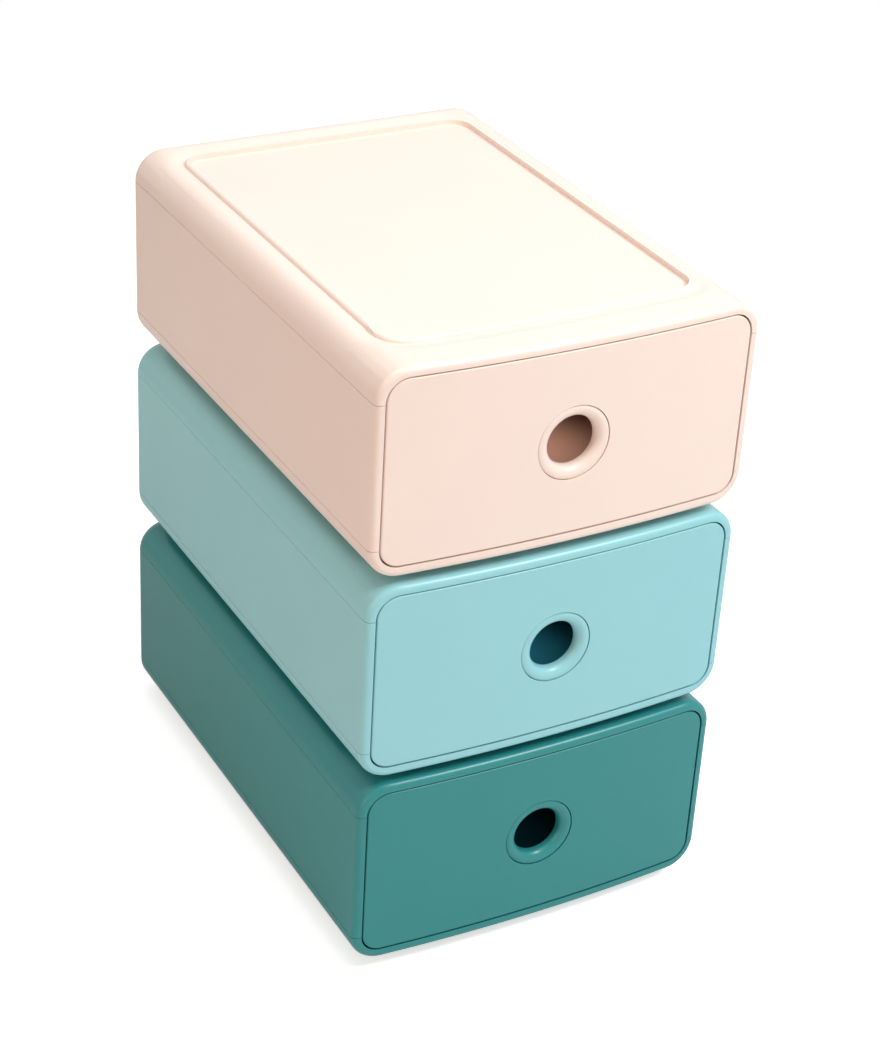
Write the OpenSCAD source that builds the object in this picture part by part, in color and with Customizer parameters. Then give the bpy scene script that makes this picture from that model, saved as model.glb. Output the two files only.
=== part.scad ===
// Stackable drawer box: three identical boxes, each a case with one drawer.
// Millimetres, Z up, fronts towards -Y. The origin is on the resting plane,
// below the middle of the stack.

/* [Case] */
// Width of a box over its sides
case_w = 191.6; // [184:0.2:198]
// Depth from the crown of the bowed front to the flat back
case_d = 273; // [262:1:280]
// Height of a case without its feet
case_h = 100.6; // [97:0.1:104]
// Radius of the bow of the front, seen from above
bow_r = 1025; // [900:5:1200]
// Corner radius at the top of the front view
top_r = 15.8; // [14:0.1:20]
// Corner radius at the bottom of the front view
low_r = 15; // [13:0.1:16]
// Roll of the edge around the front
front_roll = 3; // [2.6:0.1:3.8]
// Radius of the upright edges at the back
back_r = 8; // [6:0.5:10]
// Roll of the top edge at the back
back_roll = 11; // [8:0.5:12]
// Wall of the moulded shells
wall = 2.2; // [2:0.1:2.5]
// Visible gap at the seams between shells and panels
seam = 0.3; // [0.2:0.05:0.5]
// Height of the tongues that lock shells and panels together
tongue = 3; // [2:0.5:4]
// Clearance beside a tongue
tongue_play = 0.15; // [0.1:0.05:0.25]

/* [Front opening] */
// Rim beside the drawer front
rim = 4.5; // [3.5:0.1:5]
// Rim above the drawer front
top_rim = 4.1; // [3.5:0.1:5]
// Rim below the drawer front
low_rim = 5.1; // [3.6:0.1:6]
// Gap around the drawer front
reveal = 0.8; // [0.5:0.1:1.2]

/* [Tray on top] */
// Width of the sunk tray
tray_w = 155; // [130:1:156]
// Distance from the front to the tray
tray_front = 26.8; // [20:0.1:40]
// Distance from the back to the tray
tray_back = 23; // [18:1:40]
// Depth of the tray
tray_deep = 2.5; // [2:0.1:3]
// Radius of the tray corners
tray_r = 10; // [9.5:0.5:14]

/* [Feet and stacking] */
// Free height between two stacked cases
stack_gap = 4.8; // [4:0.1:8]
// Radius of a foot boss
foot_r = 9; // [8:0.5:9.5]
// Radius of a rubber pad
pad_r = 7; // [5:0.5:7]
// Thickness of a rubber pad
pad_t = 3; // [2:0.5:3]
// Depth of the pad seat in the boss
pad_sink = 1; // [0.6:0.1:1.4]
// Clearance between a foot boss and the tray wall
nest_play = 0.75; // [0.5:0.05:1.5]

/* [Drawer] */
// Travel of the drawer to its stop
travel = 200; // [120:5:205]
// Gap between the tub and each side of the case
tub_gap = 5.1; // [4.6:0.1:10]
// Wall of the tub
tub_wall = 2; // [1.6:0.1:2.4]
// Corner radius of the tub in the front view
tub_r = 9; // [7:0.5:12]
// Thickness of the drawer front
front_t = 2.5; // [2.2:0.1:3]
// Depth of the drawer front with the rim behind it
front_deep = 7; // [6.6:0.1:7.2]
// Width of the rim behind the drawer front
front_rim = 2.4; // [2:0.1:3]
// Height of the runner ribs above the floor of the case
runner_h = 3.2; // [2.8:0.1:3.6]
// Gap between the closed tub and the back panel
back_gap = 0.5; // [0.4:0.1:2]

/* [Finger ring] */
// Outer radius of the ring seen in the front
ring_r = 18; // [16:0.1:22]
// Radius of the finger hole
hole_r = 12.1; // [10:0.1:12.5]
// Radius of the rolled lip of the ring
lip_r = 4; // [3:0.1:4.4]
// Thickness of the drawer front around the ring
boss_t = 3.4; // [3:0.1:4]
// Radius of the sleeve behind the lip
sleeve_r = 14; // [13.8:0.1:14.2]
// Clearance around the ring and its sleeve
ring_play = 0.25; // [0.15:0.05:0.35]

/* [Hidden] */
$fn = 64;
half_w = case_w / 2;
front_y = -case_d / 2;
back_y = case_d / 2;
bow_y = front_y + bow_r;
seam_lo = low_r;
seam_hi = case_h - top_r;
open_w = half_w - rim;
open_z0 = low_rim;
open_z1 = case_h - top_rim;
foot_h = stack_gap + tray_deep;
pitch = case_h + stack_gap;
pan_z = case_h - tray_deep - 2;
panel_x = half_w - back_r - 2;
lap = 4;
boss_z = pad_t - pad_sink - foot_h;
seat_z = pad_t - foot_h;
tub_w = case_w - 2 * wall - 2 * tub_gap;
tub_z = wall + runner_h;
tub_top = seam_hi + 0.5;
tub_back = back_y - wall - back_gap;
tub_front = front_y + front_deep;
tub_plate = 2.2;
front_w = open_w - reveal;
front_z0 = open_z0 + reveal;
front_z1 = open_z1 - reveal;
front_rt = top_r - rim - reveal;
front_rl = low_r - low_rim - reveal;
lug_top = pan_z - 1.5;
lug_y = tub_back - 5;
stop_low = pan_z - 4.2;
stop_y = lug_y - travel;
lug_x = 50;
run_out = tub_w / 2 - 6.5;
run_in = run_out * 3 / 8;
rear_w = tub_w / 2 - 16.5;
ring_y = front_y + 0.1;
ring_z = (open_z0 + open_z1) / 2 - 0.1;
ring_t = 2.1;
pin_x = 0.35 * tub_w;
pin_r = 2.5;
foot_x = tray_w / 2 - foot_r - nest_play;
foot_back = back_y - tray_back - foot_r - nest_play;
foot_front = bow_y - sqrt(pow(bow_r - tray_front, 2) - pow(foot_x + foot_r, 2)) + foot_r + nest_play;
pink = [0.96, 0.87, 0.82];
turquoise = [0.62, 0.83, 0.85];
teal = [0.27, 0.56, 0.57];
rubber = [0.32, 0.33, 0.34];

// Height of the case bottom of each box in the stack.
function level(i) = foot_h + i * pitch;

// Y of a circle about the bow axis, at a distance x from the middle.
function bow_at(r, x) = bow_y - sqrt(r * r - x * x);

// What a rounding removes from one square corner of an outline.
module corner_waste(x, y, r, sx, sy) {
    difference() {
        translate([sx > 0 ? x : x - r - 1, sy > 0 ? y : y - r - 1])
            square(r + 1);
        translate([x, y])
            circle(r);
    }
}

// What the rounding removes where the bow meets a side: tangent to both.
module bow_waste(w, rb, r, s) {
    cx = w - r;
    cy = bow_at(rb - r, cx);
    k = (r + 3) / (rb - r);
    px = cx + cx * k;
    py = cy + (cy - bow_y) * k;
    difference() {
        polygon([[s * cx, cy], [s * (w + 3), cy], [s * (w + 3), py], [s * px, py]]);
        translate([s * cx, cy])
            circle(r);
    }
}

// Plan outline with a bowed front: half width, bow radius, back and corner radii.
module bowed(w, rb, back, rf, rr) {
    difference() {
        intersection() {
            translate([0, bow_y])
                circle(rb, $fn = 1440);
            translate([-w, front_y - 1])
                square([2 * w, back - front_y + 1]);
        }
        for (s = [-1, 1]) {
            bow_waste(w, rb, rf, s);
            corner_waste(s * (w - rr), back - rr, rr, s, 1);
        }
    }
}

// Plan outline of the case, moved inwards.
module plan(inset) {
    bowed(half_w - inset, bow_r - inset, back_y - inset, max(front_roll - inset, 0.6), max(back_r - inset, 0.6));
}

// Rounded outline in the front view.
module face(w, z0, z1, rt, rl) {
    difference() {
        translate([-w, z0])
            square([2 * w, z1 - z0]);
        for (s = [-1, 1]) {
            corner_waste(s * (w - rt), z1 - rt, rt, s, 1);
            corner_waste(s * (w - rl), z0 + rl, rl, s, -1);
        }
    }
}

// Stands a front-view outline up, from y0 to y1.
module upright(y0, y1) {
    translate([0, y1, 0])
        rotate([90, 0, 0])
            linear_extrude(y1 - y0)
                children();
}

// Disc with a rolled edge that stands upright, its flat face at y = 0.
module rolled_disc(r, roll) {
    rotate([90, 0, 0])
        rotate_extrude()
            intersection() {
                square([r, 2 * roll]);
                union() {
                    translate([r - roll, 0])
                        circle(roll);
                    square([r - roll, roll]);
                }
            }
}

// One front corner of the form: the disc follows the slope of the bow.
module front_corner(s, z, r) {
    tilt = asin((half_w - front_roll - (r - front_roll) / 2) / (bow_r - front_roll));
    ex = half_w - front_roll;
    ey = bow_at(bow_r - front_roll, ex);
    d = r - front_roll;
    translate([s * (ex - d * cos(tilt)), ey - d * sin(tilt), z])
        rotate([0, 0, s * tilt])
            rolled_disc(r, front_roll, $fn = 32);
}

// One back corner of the form.
module back_corner(s, z, r, roll) {
    translate([s * (half_w - r), back_y - roll, z])
        rotate([0, 0, 180])
            rolled_disc(r, roll, $fn = 32);
}

// Outer form of the case.
module case_form() {
    run = half_w - top_r - 2;
    steps = 9;
    hull() {
        for (s = [-1, 1]) {
            front_corner(s, seam_hi, top_r);
            front_corner(s, seam_lo, low_r);
            back_corner(s, seam_hi, top_r, back_roll);
            back_corner(s, seam_lo, low_r, back_r);
            translate([s * (half_w - back_r), back_y - back_r, seam_lo])
                cylinder(r = back_r, h = seam_hi - seam_lo, $fn = 32);
        }
        for (i = [0:steps]) {
            x = run * (2 * i / steps - 1);
            for (z = [front_roll, case_h - front_roll]) {
                translate([x, bow_at(bow_r - front_roll, x), z])
                    rotate([0, 90, 0])
                        cylinder(r = front_roll, h = 0.2, center = true, $fn = 32);
            }
        }
    }
}

// Side-view outline with rounded back edges, drawn out across the case.
module across(w, z0, z1, y1, rt, rl) {
    rotate([90, 0, 90])
        translate([0, 0, -w])
            linear_extrude(2 * w)
                difference() {
                    translate([front_y - 1, z0])
                        square([y1 - front_y + 1, z1 - z0]);
                    corner_waste(y1 - rt, z1 - rt, rt, 1, 1);
                    corner_waste(y1 - rl, z0 + rl, rl, 1, -1);
                }
}

// Space inside the case: a uniform wall, also around the rolled back edges.
module inside() {
    top_in = top_r - wall - 0.5;
    low_in = low_r - wall - 0.5;
    top_x = half_w - wall - top_in;
    low_x = half_w - wall - low_in;
    top_c = case_h - wall - top_in;
    low_c = wall + low_in;
    difference() {
        intersection() {
            linear_extrude(case_h)
                plan(wall);
            upright(front_y - 1, back_y + 1)
                face(half_w - wall, wall, case_h - wall, top_in, low_in);
            across(half_w, wall, case_h - wall, back_y - wall, back_roll - wall, back_r - wall);
        }
        for (x = [top_x - case_w, top_x]) {
            translate([x, back_y - back_roll, top_c])
                cube([case_w - 2 * top_x, back_roll + 1, case_h]);
        }
        for (x = [low_x - case_w, low_x]) {
            translate([x, back_y - back_r, low_c - case_h])
                cube([case_w - 2 * low_x, back_r + 1, case_h]);
        }
    }
    for (s = [-1, 1]) {
        translate([s * top_x, back_y - back_roll, top_c])
            rotate([0, 0, 180])
                rolled_disc(top_in, back_roll - wall);
        translate([s * low_x, back_y - back_r, low_c])
            rotate([0, 0, 180])
                rolled_disc(low_in, back_r - wall);
    }
}

// Opening for the drawer front.
module opening() {
    upright(front_y - 5, front_y + 20)
        face(open_w, open_z0, open_z1, top_r - rim, low_r - low_rim);
}

// Tray outline, grown outwards.
module tray(grow) {
    bowed(tray_w / 2 + grow, bow_r - tray_front + grow, back_y - tray_back + grow, tray_r + grow, tray_r + grow);
}

// Ring between two insets of the plan, behind the front rim.
module wall_layer(i0, i1) {
    difference() {
        plan(i0);
        plan(i1);
        translate([-half_w - 1, front_y - 1])
            square([case_w + 2, 9]);
    }
}

// Tongue that stands in the rebates of the side panels and the back panel.
module tongue_ring(z0, z1) {
    translate([0, 0, z0])
        linear_extrude(z1 - z0)
            wall_layer(wall / 2 + tongue_play, wall);
}

// Top shell with the tray, its pan and the stop ribs for the drawer.
module cover() {
    difference() {
        union() {
            difference() {
                case_form();
                inside();
            }
            translate([0, 0, pan_z])
                linear_extrude(case_h - pan_z - 1)
                    tray(2);
        }
        opening();
        translate([-half_w - 1, front_y - 1, -1])
            cube([case_w + 2, case_d + 2, seam_hi + seam / 2 + 1]);
        translate([0, 0, case_h - tray_deep])
            linear_extrude(tray_deep + 1)
                tray(0);
    }
    tongue_ring(seam_hi - tongue, seam_hi + 1);
    for (s = [-1, 1]) {
        translate([s * lug_x - 12, stop_y - 3, stop_low])
            cube([24, 3, pan_z - stop_low + 0.5]);
    }
}

// Places a child at each of the four feet.
module feet_at() {
    for (s = [-1, 1]) {
        for (y = [foot_front, foot_back]) {
            translate([s * foot_x, y, 0])
                children();
        }
    }
}

// Bottom shell with runner ribs and hollow foot bosses.
module base() {
    difference() {
        union() {
            difference() {
                case_form();
                inside();
            }
            feet_at()
                translate([0, 0, boss_z])
                    cylinder(r = foot_r, h = 1 - boss_z);
        }
        opening();
        translate([-half_w - 1, front_y - 1, seam_lo - seam / 2])
            cube([case_w + 2, case_d + 2, case_h]);
        feet_at() {
            translate([0, 0, seat_z + 2])
                cylinder(r = pad_r, h = case_h);
            translate([0, 0, boss_z - 1])
                cylinder(r = pad_r + tongue_play, h = pad_sink + 1);
        }
    }
    tongue_ring(seam_lo - 1, seam_lo + tongue);
    for (s = [-1, 1]) {
        for (x = [run_in, run_out]) {
            translate([s * x - 1.5, front_y + 8, wall - 0.5])
                cube([3, back_y - front_y - 14, runner_h + 0.5]);
        }
    }
}

// Part of the plan from a distance x0 outwards, on one side.
module beyond(s, x0) {
    translate([s > 0 ? x0 : -half_w - 1, front_y - 1])
        square([half_w + 1 - x0, case_d + 2]);
}

// Part of the plan between -x0 and x0, at the back.
module between(x0) {
    translate([-x0, 0])
        square([2 * x0, half_w * 2]);
}

// Extrudes between the two seams, shortened by the same amount at both ends.
module between_seams(short) {
    translate([0, 0, seam_lo + short])
        linear_extrude(seam_hi - seam_lo - 2 * short)
            children();
}

// Plan of a side panel between two insets, cut off at the opening.
module side_plan(s, i0, i1) {
    intersection() {
        difference() {
            plan(i0);
            plan(i1);
            translate([-open_w, front_y - 1])
                square([2 * open_w, 30]);
        }
        beyond(s, panel_x + seam / 2);
    }
}

// Side panel: rebated for the tongues, lapped behind the back panel.
module side_panel(s) {
    between_seams(tongue) {
        side_plan(s, 0, wall);
        intersection() {
            wall_layer(wall / 2 + tongue_play, wall);
            beyond(s, panel_x - lap);
            translate([-half_w, 0])
                square([case_w, case_d]);
        }
    }
    between_seams(seam / 2) {
        side_plan(s, 0, wall / 2);
        intersection() {
            side_plan(s, 0, wall);
            translate([-half_w - 1, front_y - 1])
                square([case_w + 2, 8.7]);
        }
    }
}

// Back panel between the side panels.
module back_panel() {
    between_seams(tongue)
        intersection() {
            wall_layer(0, wall);
            between(panel_x - lap);
        }
    between_seams(seam / 2)
        intersection() {
            wall_layer(0, wall / 2);
            between(panel_x - seam / 2);
        }
}

// Rubber pads seated in the foot bosses.
module feet() {
    feet_at()
        translate([0, 0, -foot_h])
            cylinder(r = pad_r, h = pad_t);
}

// Section of the tub in the front view.
module trough(w, z0, z1, r) {
    difference() {
        translate([-w, z0])
            square([2 * w, z1 - z0]);
        for (s = [-1, 1]) {
            corner_waste(s * (w - r), z0 + r, r, s, -1);
        }
    }
}

// Plan of the tub with rounded back corners.
module tub_plan(inset) {
    w = tub_w / 2 - inset;
    r = 6 - inset;
    difference() {
        translate([-w, tub_front + inset])
            square([2 * w, tub_back - tub_front - 2 * inset]);
        for (s = [-1, 1]) {
            corner_waste(s * (w - r), tub_back - 6, r, s, 1);
        }
    }
}

// Drawer tub with its front plate, side rims and stop lugs.
module tub() {
    w = tub_w / 2;
    difference() {
        union() {
            intersection() {
                upright(tub_front, tub_back)
                    trough(w, tub_z, tub_top, tub_r);
                linear_extrude(case_h)
                    tub_plan(0);
                across(w, tub_z, case_h, tub_back, 1, 5);
            }
            for (s = [-1, 1]) {
                translate([s > 0 ? w - 1.7 : -front_w, tub_front, tub_top - 2])
                    cube([front_w - w + 1.7, tub_back - tub_front - 8, 2]);
            }
            upright(tub_front, tub_front + tub_plate)
                face(front_w - 0.6, tub_z, front_z1 - 0.6, front_rt - 0.6, front_rl - 0.6);
        }
        intersection() {
            upright(tub_front + tub_plate, tub_back)
                trough(w - tub_wall, tub_z + tub_wall, case_h, tub_r - tub_wall);
            linear_extrude(case_h)
                tub_plan(tub_wall);
            across(w, tub_z + tub_wall, 2 * case_h, tub_back - tub_wall, 1, 5 - tub_wall);
        }
        ring_bore(ring_r, tub_front - 1, 6);
        for (s = [-1, 1]) {
            translate([s * pin_x, tub_front - 1, ring_z])
                rotate([-90, 0, 0])
                    cylinder(r = pin_r + tongue_play, h = 6);
        }
    }
    translate([-rear_w, tub_back - tub_wall, tub_top - 1])
        cube([2 * rear_w, tub_wall, 3.5]);
    for (s = [-1, 1]) {
        translate([s * lug_x - 10, lug_y, tub_top - 8])
            cube([20, 3.1, lug_top - tub_top + 8]);
    }
}

// Cylinder on the axis of the finger hole.
module ring_bore(r, y0, length) {
    translate([0, y0, ring_z])
        rotate([-90, 0, 0])
            cylinder(r = r, h = length);
}

// Plan of the drawer front: bowed outside, flat behind.
module front_plan(inset) {
    intersection() {
        translate([0, bow_y])
            circle(bow_r - inset, $fn = 1440);
        translate([-half_w, front_y - 1])
            square([case_w, tub_front - front_y + 1]);
    }
}

// Front view of the hollow behind the drawer front.
module hollow_face(edge) {
    face(front_w - edge, front_z0 + edge, front_z1 - edge, front_rt - edge, front_rl - edge);
}

// Bowed drawer front with a rim behind it, a boss for the ring and two pins.
module drawer_front() {
    difference() {
        union() {
            difference() {
                intersection() {
                    upright(front_y - 1, tub_front)
                        face(front_w, front_z0, front_z1, front_rt, front_rl);
                    linear_extrude(case_h)
                        front_plan(0);
                }
                intersection() {
                    upright(front_y - 1, tub_front + 1)
                        hollow_face(front_rim);
                    translate([0, 0, -1])
                        linear_extrude(case_h + 2)
                            intersection() {
                                translate([0, bow_y])
                                    circle(bow_r - front_t, $fn = 1440);
                                translate([-half_w, front_y - 1])
                                    square([case_w, 20]);
                            }
                }
            }
            ring_bore(ring_r + 3, ring_y + 1, boss_t - 1);
        }
        ring_bore(ring_r + ring_play, front_y - 1, ring_y - front_y + 1 + ring_t);
        ring_bore(sleeve_r + ring_play, front_y, 20);
    }
    for (s = [-1, 1]) {
        translate([s * pin_x, front_y + front_t - 0.5, ring_z])
            rotate([-90, 0, 0])
                cylinder(r = pin_r, h = tub_front - front_y - front_t + 2.5);
    }
}

// Finger ring: rolled lip, flange in the front and a snap bead behind the boss.
module ring() {
    translate([0, ring_y, ring_z])
        rotate([-90, 0, 0])
            rotate_extrude()
                difference() {
                    union() {
                        translate([hole_r, 0])
                            square([ring_r - hole_r, ring_t]);
                        translate([hole_r, 0])
                            square([sleeve_r - hole_r, boss_t + 1.6]);
                        translate([hole_r, boss_t + 0.15])
                            square([sleeve_r + 0.5 - hole_r, 1]);
                    }
                    difference() {
                        translate([hole_r - 1, -1])
                            square([ring_r - hole_r + 2, lip_r + 1]);
                        translate([hole_r + lip_r, lip_r])
                            circle(lip_r);
                    }
                }
}

module lower_base() {
    color(teal)
        translate([0, 0, level(0)])
            base();
}

module lower_side_left() {
    color(teal)
        translate([0, 0, level(0)])
            side_panel(-1);
}

module lower_side_right() {
    color(teal)
        translate([0, 0, level(0)])
            side_panel(1);
}

module lower_back() {
    color(teal)
        translate([0, 0, level(0)])
            back_panel();
}

module lower_cover() {
    color(teal)
        translate([0, 0, level(0)])
            cover();
}

module lower_feet() {
    color(rubber)
        translate([0, 0, level(0)])
            feet();
}

module lower_tub() {
    color(teal)
        translate([0, 0, level(0)])
            tub();
}

module lower_front() {
    color(teal)
        translate([0, 0, level(0)])
            drawer_front();
}

module lower_ring() {
    color(teal)
        translate([0, 0, level(0)])
            ring();
}

module middle_base() {
    color(turquoise)
        translate([0, 0, level(1)])
            base();
}

module middle_side_left() {
    color(turquoise)
        translate([0, 0, level(1)])
            side_panel(-1);
}

module middle_side_right() {
    color(turquoise)
        translate([0, 0, level(1)])
            side_panel(1);
}

module middle_back() {
    color(turquoise)
        translate([0, 0, level(1)])
            back_panel();
}

module middle_cover() {
    color(turquoise)
        translate([0, 0, level(1)])
            cover();
}

module middle_feet() {
    color(rubber)
        translate([0, 0, level(1)])
            feet();
}

module middle_tub() {
    color(turquoise)
        translate([0, 0, level(1)])
            tub();
}

module middle_front() {
    color(turquoise)
        translate([0, 0, level(1)])
            drawer_front();
}

module middle_ring() {
    color(turquoise)
        translate([0, 0, level(1)])
            ring();
}

module upper_base() {
    color(pink)
        translate([0, 0, level(2)])
            base();
}

module upper_side_left() {
    color(pink)
        translate([0, 0, level(2)])
            side_panel(-1);
}

module upper_side_right() {
    color(pink)
        translate([0, 0, level(2)])
            side_panel(1);
}

module upper_back() {
    color(pink)
        translate([0, 0, level(2)])
            back_panel();
}

module upper_cover() {
    color(pink)
        translate([0, 0, level(2)])
            cover();
}

module upper_feet() {
    color(rubber)
        translate([0, 0, level(2)])
            feet();
}

module upper_tub() {
    color(pink)
        translate([0, 0, level(2)])
            tub();
}

module upper_front() {
    color(pink)
        translate([0, 0, level(2)])
            drawer_front();
}

module upper_ring() {
    color(pink)
        translate([0, 0, level(2)])
            ring();
}

lower_base();
lower_side_left();
lower_side_right();
lower_back();
lower_cover();
lower_feet();
lower_tub();
lower_front();
lower_ring();
middle_base();
middle_side_left();
middle_side_right();
middle_back();
middle_cover();
middle_feet();
middle_tub();
middle_front();
middle_ring();
upper_base();
upper_side_left();
upper_side_right();
upper_back();
upper_cover();
upper_feet();
upper_tub();
upper_front();
upper_ring();
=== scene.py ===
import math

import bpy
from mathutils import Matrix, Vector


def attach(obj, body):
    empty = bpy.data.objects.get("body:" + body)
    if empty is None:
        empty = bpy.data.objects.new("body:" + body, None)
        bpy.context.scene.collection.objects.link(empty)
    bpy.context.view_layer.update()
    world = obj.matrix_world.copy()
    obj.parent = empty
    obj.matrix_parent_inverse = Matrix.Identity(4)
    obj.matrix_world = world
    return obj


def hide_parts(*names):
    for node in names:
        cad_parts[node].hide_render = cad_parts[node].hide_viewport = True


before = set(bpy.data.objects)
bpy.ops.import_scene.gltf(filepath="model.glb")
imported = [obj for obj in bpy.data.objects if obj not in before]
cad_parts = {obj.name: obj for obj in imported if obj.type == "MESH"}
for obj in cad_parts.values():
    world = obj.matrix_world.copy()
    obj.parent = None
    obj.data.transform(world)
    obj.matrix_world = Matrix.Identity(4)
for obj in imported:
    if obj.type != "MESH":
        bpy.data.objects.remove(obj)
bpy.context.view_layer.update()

# %% [markdown]
# # A stack of three drawer boxes
# Each box is a moulded case with a bowed front, a drawer with a round finger
# ring, a sunk tray on top and four feet that stand in the tray below. The
# solids come with their joints; this lesson gives them their final look.
# The boxes are alike, so each piece is modelled once and copied three times.

MM = 0.001

# %% [markdown]
# ## Sizes
# A moulded box is drawn from a few lengths, and everything that fits is
# derived from them. They are given in millimetres for one box, with z = 0 at
# the underside of its case, and they are the same as in the solids. Only the
# bead around the tray is added here. The last two lines of sizes say how far
# the tools reach beyond what they cut.

# %% Sizes of the case
HALF = 95.8
FRONT, BACK = -136.5, 136.5
HEIGHT = 100.6
BOW = 1025.0
BOW_Y = FRONT + BOW
TOP_R, LOW_R = 15.8, 15.0
ROLL = 3.0
BACK_R, BACK_ROLL = 8.0, 11.0
WALL, CORNER_WALL = 2.2, 2.7
SEAM = 0.3
SEAM_LOW, SEAM_HIGH = LOW_R, HEIGHT - TOP_R
RIM, TOP_RIM, LOW_RIM = 4.5, 4.1, 5.1
OPEN_W, OPEN_LOW, OPEN_HIGH = HALF - RIM, LOW_RIM, HEIGHT - TOP_RIM
TRAY_INSET = 26.8
TRAY_HALF, TRAY_FRONT, TRAY_BACK = 77.5, FRONT + TRAY_INSET, BACK - 23.0
TRAY_DEEP, TRAY_R, TRAY_CORNER = 2.5, 10.0, 12.0
PAN_WALL = 2.0
PAN = HEIGHT - TRAY_DEEP - PAN_WALL
BEAD_W, BEAD_H, BEAD_FADE = 2.2, 1.8, 8.5
PANEL_X = HALF - BACK_R - 2.0
FOOT_H = 7.3
PITCH = HEIGHT + 4.8
BOXES = ("lower", "middle", "upper")
CLEAR, RIM_DEEP = 5.0, 20.0
SIDE, AHEAD, ABOVE = 100.0, 140.0, 120.0
print("box", 2 * HALF, "wide,", BACK - FRONT, "deep,", HEIGHT, "high, pitch", PITCH)

# %% [markdown]
# The drawer's front leaves a narrow reveal in the opening, and the ring sits
# in the middle of the front. The stops are two pairs of ribs and lugs.

# %% Sizes of the drawer, the feet and the stops
REVEAL = 0.8
F_LOW, F_HIGH, F_HALF = OPEN_LOW + REVEAL, OPEN_HIGH - REVEAL, OPEN_W - REVEAL
F_TOP_R, F_LOW_R = TOP_R - RIM - REVEAL, LOW_R - LOW_RIM - REVEAL
F_WALL, F_RIM, F_ROLL = 2.5, 2.4, 0.7
TUB_FRONT, TUB_BACK = FRONT + 7.0, BACK - 2.7
TUB_HALF, TUB_LOW, TUB_TOP = 88.5, 5.4, SEAM_HIGH + 0.5
TUB_WALL, PLATE_T, PLATE_GAP = 2.0, 2.2, 0.6
TUB_R, TUB_BACK_R, PLATE_TOP_R, PLATE_LOW_R = 9.0, 6.0, 11.0, 8.2
REAR_HALF, REAR_UP = 72.0, 2.5
RUNNER_OUT, RUNNER_HALF = TUB_HALF - 6.5, 1.5
RING_Z = (OPEN_LOW + OPEN_HIGH) / 2 - 0.1
RING_R, HOLE_R, LIP_R, SLEEVE_R, BOSS_T = 18.0, 12.1, 4.0, 14.0, 3.4
RING_Y, RING_SEAT, RING_PLAY, SNAP = FRONT + 0.1, 2.1, 0.25, 0.5
PIN_R, PIN_X = 2.5, 62.0
PAD_R, PAD_T, PAD_PLAY = 7.0, 3.0, 0.15
BOSS_R, BOSS_PLAY, BOSS_UP = 9.0, 0.75, 2.0
STOP_X, RIB_HALF, LUG_HALF = 50.0, 12.0, 10.0
RIB_FRONT, RIB_BACK, RIB_DOWN = -74.2, -71.5, 4.2
print("drawer front", 2 * F_HALF, "wide,", round(F_HIGH - F_LOW, 1), "high")

# %% [markdown]
# ## Working as by hand
# An operator acts on what is selected, and loading the solids leaves them
# selected. So each helper first clears the selection and picks its own piece.
# Edges and points are then chosen in code by their place.


# %% Selecting
def clear_selection():
    if bpy.context.object and bpy.context.object.mode != "OBJECT":
        bpy.ops.object.mode_set(mode="OBJECT")
    bpy.ops.object.select_all(action="DESELECT")


def pick(piece):
    clear_selection()
    piece.select_set(True)
    bpy.context.view_layer.objects.active = piece


def start_choosing(piece, kind):
    """Opens the piece in edit mode for a moment, so that nothing stays chosen."""
    pick(piece)
    bpy.ops.object.mode_set(mode="EDIT")
    bpy.ops.mesh.select_mode(type=kind)
    bpy.ops.mesh.select_all(action="DESELECT")
    bpy.ops.object.mode_set(mode="OBJECT")


def choose_edges(piece, wanted):
    """Chooses the edges whose two ends pass, and counts them."""
    start_choosing(piece, "EDGE")
    points = piece.data.vertices
    chosen = 0
    for edge in piece.data.edges:
        a, b = (points[i].co / MM for i in edge.vertices)
        edge.select = bool(wanted(a, b))
        chosen += edge.select
    bpy.ops.object.mode_set(mode="EDIT")
    return chosen


def choose_points(piece, wanted):
    """Chooses the points that pass."""
    start_choosing(piece, "VERT")
    for point in piece.data.vertices:
        point.select = bool(wanted(point.co / MM))
    bpy.ops.object.mode_set(mode="EDIT")


def round_edges(piece, wanted, radius, segments=8):
    count = choose_edges(piece, wanted)
    if count:
        bpy.ops.mesh.bevel(
            offset=radius * MM, segments=segments, profile=0.5, clamp_overlap=False)
    clear_selection()
    return count


def cut_along(piece, planes):
    """Adds edges where planes cross the piece, each a place and a facing."""
    pick(piece)
    bpy.ops.object.mode_set(mode="EDIT")
    for place, facing in planes:
        bpy.ops.mesh.select_all(action="SELECT")
        bpy.ops.mesh.bisect(
            plane_co=[v * MM for v in place], plane_no=facing, use_fill=False)
    bpy.ops.object.mode_set(mode="OBJECT")


# %% [markdown]
# ## Blocks and cuts
# Every shell starts as a block of its real size. Its wall, opening and tray
# are cut with Boolean modifiers, which leave clean edges where two curved
# forms meet, such as the bowed front and the rounded shoulders.


# %% Blocks, copies and Boolean cuts
def block(name, low, high):
    clear_selection()
    middle = [(a + b) / 2 * MM for a, b in zip(low, high)]
    bpy.ops.mesh.primitive_cube_add(size=1, location=middle)
    piece = bpy.context.active_object
    piece.name = name
    piece.scale = [(b - a) * MM for a, b in zip(low, high)]
    bpy.ops.object.transform_apply(location=True, rotation=True, scale=True)
    return piece


def post(name, radius, low, high, at=(0.0, 0.0), axis="Z", sides=96):
    """A cylinder from low to high, along Z at (x, y) or along Y at (x, z)."""
    clear_selection()
    x, other = at
    middle = (low + high) / 2
    place = (x, other, middle) if axis == "Z" else (x, middle, other)
    turn = (0, 0, 0) if axis == "Z" else (math.pi / 2, 0, 0)
    bpy.ops.mesh.primitive_cylinder_add(
        vertices=sides, radius=radius * MM, depth=(high - low) * MM,
        location=[v * MM for v in place], rotation=turn)
    piece = bpy.context.active_object
    piece.name = name
    bpy.ops.object.transform_apply(location=True, rotation=True, scale=True)
    return piece


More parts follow.
